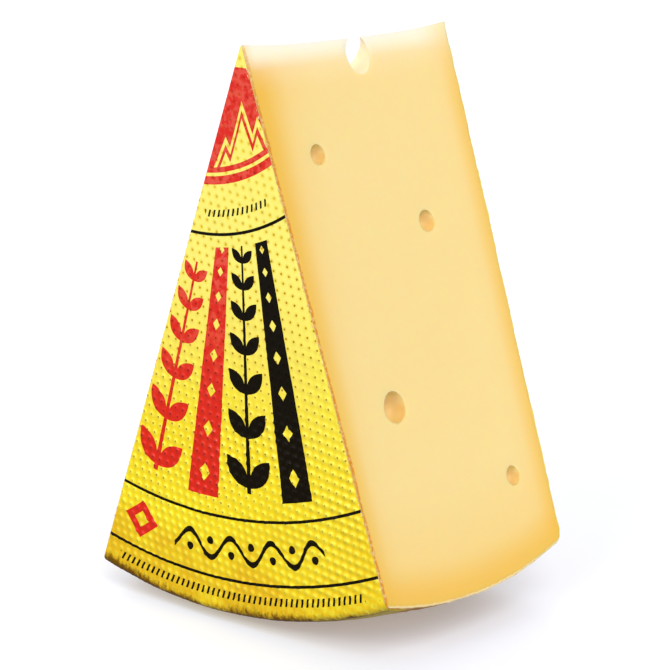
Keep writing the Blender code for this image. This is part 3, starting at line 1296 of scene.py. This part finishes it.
# %% [markdown]
# The foil's finish is a satin yellow lacquer. It is painted pale at the tip, as a painted
# reflection of the light, and deepens to ochre at the foot. It is painted darker between
# the domes and in a ring round each pit, as painted shade. Each pit's middle is brown:
# partly the dark rind through the prick, partly painted shade in the pit. The inks lie
# on the lacquer: the red is a little uneven and the black is dense.

# %% Colours of the label
# Painted reflection: the paler foil colour at the top of the label.
FOIL_TOP_PAINTED_SHEEN = (1.000, 0.905, 0.185)
FOIL_DEEP = (1.000, 0.940, 0.055)
FOIL_OCHRE = (0.760, 0.440, 0.002)
INK_RED = (0.750, 0.013, 0.007)
INK_RED_THIN = (0.830, 0.085, 0.055)
INK_BLACK = (0.007, 0.005, 0.003)
# Partly painted shade: the dark middle of each pit, partly rind seen through the prick.
PRICK_RIND_AND_PAINTED_SHADE = (0.420, 0.240, 0.035)
# Painted shade: a deeper ring round each pit.
HALO_PAINTED_SHADE = (0.900, 0.720, 0.180)
# Painted shade: the darker colour in the valleys between the domes.
VALLEY_PAINTED_SHADE = (0.930, 0.735, 0.020)
# Dirt and painted shade: the dark colour of the foot under the rim.
FOOT_DIRT_AND_PAINTED_SHADE = (0.130, 0.062, 0.010)

# %% Where the label's colours lie
# Down the sheet, in mm. Clouds of this size and swing keep the changes from being level.
CLOUD_ON_FOIL = 16.0 * MM
CLOUD_SWING = 60.0
PALE_TO_DEEP = (60.0, 138.0)
# The foot turns to ochre, on the right from higher up: how far its line leans, for each
# mm across, and its fade.
OCHRE_LEAN_RIGHT = 0.5
OCHRE_RIGHT = (175.0, 112.0, 0.45)
OCHRE_LEAN_LEFT = 0.15
OCHRE_LEFT = (154.0, 132.0, 0.62)
RUB_SIZE = 2.1 * MM
RUBBED_RED = (0.60, 0.42)
RUBBED_DOWN = (50.0, 120.0)
LEAST_RUBBED = 0.08
# The pricks are dark at mid height and in the red field's foot, golden at the top and
# faint among the low domes. Their dark is partly the rind through the prick and partly
# painted shade in the pit. These two go by the distance from a dot, the others down the
# sheet.
PRICK = (0.17, 0.408)
HALO = (0.30, 1.05, 0.70)
HALO_DOWN = (60.0, 130.0)
GOLDEN_TOP = (30.0, 75.0, 0.68)
FAINT_LOW = (142.0, 104.0, 0.85)
DARK_IN_RED = (36.0, 14.0, 0.85)
DARK_END = (100.0, 140.0)
PRICK_GRAIN = 0.6 * MM
PRICK_RAGGED = 0.25
# How rough the lacquer is, and how much that grows with the clouds and with black ink.
FOIL_ROUGHNESS = (0.20, 0.10)
INK_ROUGHER = 0.15
# How much it mirrors, and how much that falls with black ink and with the foot's dirt and painted
# shade.
INK_SHINE = (0.70, -0.58)
FOOT_DARK_SHINE = (1.0, -0.8)
RUB_BUMP = 0.03 * MM


def dot_distance(tree):
    """Distance in mm from the middle of the nearest dot."""
    u = kept(tree, "dot_a").step("FRACT") - 0.5
    v = kept(tree, "dot_b").step("FRACT") - 0.5
    x, y = dot_offset(u, v)
    distance = (x.squared() + y.squared()).root()
    return distance + grain(tree, PRICK_GRAIN, detail=1.0).swing(PRICK_RAGGED)


def prick_amount(low, red_part, dot):
    """How dark each pricked middle is: partly rind through the prick, partly painted shade in the
    pit.
    """
    prick = (low.fade(*GOLDEN_TOP) + low.fade(*FAINT_LOW)).against()
    prick = prick.most(red_part * low.fade(*DARK_IN_RED) * low.fade(*DARK_END))
    return prick * dot.fade(*PRICK)


# %% Dirt and painted shade at the foot
# By distance past the fold, in mm. Upwards the darkening fades out just above the fold, and
# inwards it ends under the rim. It is dirt, and painted shade where the foil turns under.
FOOT_DARK_UPWARDS = (2.0, -0.9)
FOOT_DARK_INWARDS = (2.2, 4.0, 0.92)
# How far the darkening's upper line swings with clouds, rubbing and streaks, and leans across.
FOOT_DARK_BY_CLOUD = 6.0
FOOT_DARK_BY_RUB = 3.0
FOOT_DARK_BY_STREAK = 5.0
FOOT_DARK_LEAN = 0.035
STREAK_SIZE = 1.1 * MM


def dirt_and_shade_amount(tree, patch, rub):
    """How dark the foot is, where the foil turns under: dirt, and painted shade under the rim."""
    streak = grain(tree, STREAK_SIZE, detail=3.0, roughness=0.65, stretch=(1.0, 1.0, 0.5))
    fold = kept(tree, "past_fold")
    past = fold + patch.swing(FOOT_DARK_BY_CLOUD) + rub.swing(FOOT_DARK_BY_RUB)
    past = past + streak.swing(FOOT_DARK_BY_STREAK) - kept(tree, "print_across") * FOOT_DARK_LEAN
    return past.fade(*FOOT_DARK_UPWARDS) * fold.fade(*FOOT_DARK_INWARDS)


# %% The whole label


def make_label_finish():
    """Lacquered foil with its print and pricked dots."""
    material, tree, shader = start_material("label_finish")
    patch = grain(tree, CLOUD_ON_FOIL, detail=3.0)
    rub = grain(tree, RUB_SIZE, detail=4.0, roughness=0.6)
    across = kept(tree, "print_across")
    low = kept(tree, "print_down") + patch.swing(CLOUD_SWING)
    # Painted reflection: the foil is painted paler at the top, deeper lower down.
    shade = blend(tree, FOIL_TOP_PAINTED_SHEEN, FOIL_DEEP, low.fade(*PALE_TO_DEEP).against())
    right = (low + across * OCHRE_LEAN_RIGHT).fade(*OCHRE_RIGHT)
    left = (low - across * OCHRE_LEAN_LEFT).fade(*OCHRE_LEFT)
    shade = blend(tree, shade, FOIL_OCHRE, right.most(left))
    worn = rub.fade(*RUBBED_RED) * low.fade(*RUBBED_DOWN) + LEAST_RUBBED
    red = blend(tree, INK_RED, INK_RED_THIN, worn)
    red_part = red_ink(tree)
    shade = blend(tree, shade, red, red_part)
    black = black_ink(tree)
    shade = blend(tree, shade, INK_BLACK, black)
    dot = dot_distance(tree)
    # Painted shade: the foil is darker in the valleys between the domes.
    shade = tint(tree, shade, VALLEY_PAINTED_SHADE, kept(tree, "valley"))
    # Painted shade: a deeper ring round each pit, high on the sheet.
    shade = tint(tree, shade, HALO_PAINTED_SHADE, dot.fade(*HALO) * low.fade(*HALO_DOWN))
    # Partly painted shade: each pit's dark middle, partly the rind through the prick.
    shade = tint(tree, shade, PRICK_RIND_AND_PAINTED_SHADE, prick_amount(low, red_part, dot))
    # Dirt and painted shade: the foot darkens where the foil turns under the rim.
    dirt_and_shade = dirt_and_shade_amount(tree, patch, rub)
    shade = tint(tree, shade, FOOT_DIRT_AND_PAINTED_SHADE, dirt_and_shade)
    tree.links.new(shade, shader.inputs["Base Color"])
    rough = patch.line(*FOIL_ROUGHNESS) + black * INK_ROUGHER
    tree.links.new(rough.socket, shader.inputs["Roughness"])
    shine = black.line(*INK_SHINE) * dirt_and_shade.line(*FOOT_DARK_SHINE)
    tree.links.new(shine.socket, shader.inputs["Specular IOR Level"])
    add_bump(tree, shader, rub, RUB_BUMP, 0.5)
    return material


label_finish = make_label_finish()
label_skin.data.materials.append(label_finish)
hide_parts("label")
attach(label_skin, "root")
print("Label finish nodes:", len(label_finish.node_tree.nodes))

# %% [markdown]
# Where the knife went through foil and rind, both creases are fringed with pale crumbs.
# They are too small to model one by one, and too rough to be a line of colour. So a few
# hundred small lumps are strewn along the two creases, longer along them than across,
# with a fixed seed, and joined into one mesh.

# %% Crumbs along the creases
CRUMB_COUNT = 340
CRUMB_ACROSS = (0.05 * MM, 0.12 * MM)
CRUMB_LONG = (1.5, 6.0)
CRUMB_BAND = (-0.05 * MM, 0.40 * MM)
CRUMB_INSET_MM = (0.0, 0.25)
CRUMB_SHARES = (0.03, 0.985)
CRUMB_LEAN = (-0.3, 0.3)
CRUMB_LUMPS = (0.5, 1.7)


def crumb_place(draw, side):
    """A place on one crease, and the crease's own direction."""
    tip = tip_point(0.0)
    foot = rim_point(side * HALF_ANGLE, 0.0)
    place = tip.lerp(foot, draw.uniform(*CRUMB_SHARES))
    place.x -= side * draw.uniform(*CRUMB_INSET_MM) * MM
    place.y += draw.uniform(*CRUMB_BAND) - FOIL_SEAT
    return place, (foot - tip).normalized()


def make_crumbs():
    """All the crumbs as one piece."""
    draw = random.Random(11)
    work = bmesh.new()
    for number in range(CRUMB_COUNT):
        place, along = crumb_place(draw, 1 if number % 2 else -1)
        across = draw.uniform(*CRUMB_ACROSS)
        turn = along.to_track_quat("Z", "Y").to_matrix().to_4x4()
        lean = Matrix.Rotation(draw.uniform(*CRUMB_LEAN), 4, "X")
        lean = lean @ Matrix.Rotation(draw.uniform(*CRUMB_LEAN), 4, "Y")
        size = Matrix.Diagonal((across, across, across * draw.uniform(*CRUMB_LONG), 1.0))
        spot = Matrix.Translation(place + PLACE)
        made = bmesh.ops.create_icosphere(work, subdivisions=1, radius=1.0)
        for v in made["verts"]:
            lump = noise.noise(v.co * CRUMB_LUMPS[1] + Vector((number, 0.0, 0.0)))
            v.co *= 1 + CRUMB_LUMPS[0] * lump
            v.co = spot @ turn @ lean @ size @ v.co
    return finished(work, "crumbs")


def make_crumb_finish():
    """Dry paste and bits of rind, some pale and some brown."""
    material, tree, shader = start_material("crumb_finish")
    mixed = grain(tree, 0.0024, detail=2.0)
    shade = blend(tree, CREAM, RIND_EDGE, mixed.fade(0.46, 0.58) * 0.75)
    tree.links.new(shade, shader.inputs["Base Color"])
    shader.inputs["Roughness"].default_value = 0.7
    return material


crumbs = make_crumbs()
crumbs.data.materials.append(make_crumb_finish())
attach(crumbs, "root")
print("Crumbs:", CRUMB_COUNT, "of", len(crumbs.data.polygons), "faces in all")

# %% [markdown]
# The studio is plain: a white floor that runs past the frame, a white surround, a large
# soft light high on the right, a smaller one in front that picks out the foil's dots,
# and a low one behind on the left. Such photos are taken on a table of milky glass with
# a lamp under it. So the floor glows a little, which keeps the shadow pale, and lets the
# lamp's light up to the rim. Its white is a cool one, because foil and cheese throw warm
# light into the shadow. The floor doesn't show in the foil, which would grey its black
# ink. The colours are kept as they come, without a film look, because the photo's ground
# is pure white.

# %% Floor
FLOOR_SIZE = 8.0
FLOOR_WHITE = (0.64, 0.66, 0.73)
FLOOR_GLOW = 0.255


def make_floor():
    """A wide plain floor under the wedge."""
    half = FLOOR_SIZE / 2
    corners = [(-half, -half), (half, -half), (half, half), (-half, half)]
    mesh = bpy.data.meshes.new("studio_floor")
    mesh.from_pydata([(x, y, 0.0) for x, y in corners], [], [(0, 1, 2, 3)])
    material, tree, shader = start_material("studio_floor")
    set_sockets(shader, {
        "Base Color": (*FLOOR_WHITE, 1.0),
        "Roughness": 0.8,
        "Specular IOR Level": 0.1,
        "Emission Color": (1.0, 1.0, 1.0, 1.0),
        "Emission Strength": FLOOR_GLOW,
    })
    mesh.materials.append(material)
    floor = put_in_scene("studio_floor", mesh)
    floor.visible_diffuse = False
    floor.visible_glossy = False
    floor.visible_shadow = False


make_floor()
print("Floor, m across:", FLOOR_SIZE)

# %% Light
SKY_STRENGTH = 0.57
GROUND_GREY = 0.30
HORIZON = (-0.12, 0.02)
# Each lamp is: where it shines from, its strength, and how wide it is in degrees.
LAMPS = {
    "key_light": ((0.75, -0.55, 0.75), 0.66 * math.pi, 35.0),
    "fill_light": ((0.05, -0.88, 0.42), 0.41 * math.pi, 30.0),
    "back_light": ((-0.85, 0.45, 0.30), 0.50 * math.pi, 60.0),
    "table_light": ((0.30, 0.0, -0.95), 0.20 * math.pi, 60.0),
}


def make_world():
    """A white surround above the floor's level and a dark one below it."""
    world = bpy.data.worlds.new("studio_surround")
    world.use_nodes = True
    tree = world.node_tree
    background = tree.nodes["Background"]
    place = tree.nodes.new("ShaderNodeTexCoord")
    parts = tree.nodes.new("ShaderNodeSeparateXYZ")
    tree.links.new(place.outputs["Generated"], parts.inputs[0])
    ground = Field(tree, parts.outputs["Z"]).fade(*HORIZON)
    shade = blend(tree, (1.0, 1.0, 1.0), (GROUND_GREY,) * 3, ground)
    tree.links.new(shade, background.inputs["Color"])
    background.inputs["Strength"].default_value = SKY_STRENGTH
    bpy.context.scene.world = world


def soft_sun(name, place, strength, spread):
    """Light from one side with soft shadows, as even on the far floor as near the wedge."""
    data = bpy.data.lights.new(name, "SUN")
    data.energy = strength
    data.angle = math.radians(spread)
    light = put_in_scene(name, data)
    light.rotation_euler = Vector(place).to_track_quat("Z", "Y").to_euler()
    light.location = place


make_world()
for name, lamp in LAMPS.items():
    soft_sun(name, *lamp)
bpy.context.scene.view_settings.view_transform = "Standard"
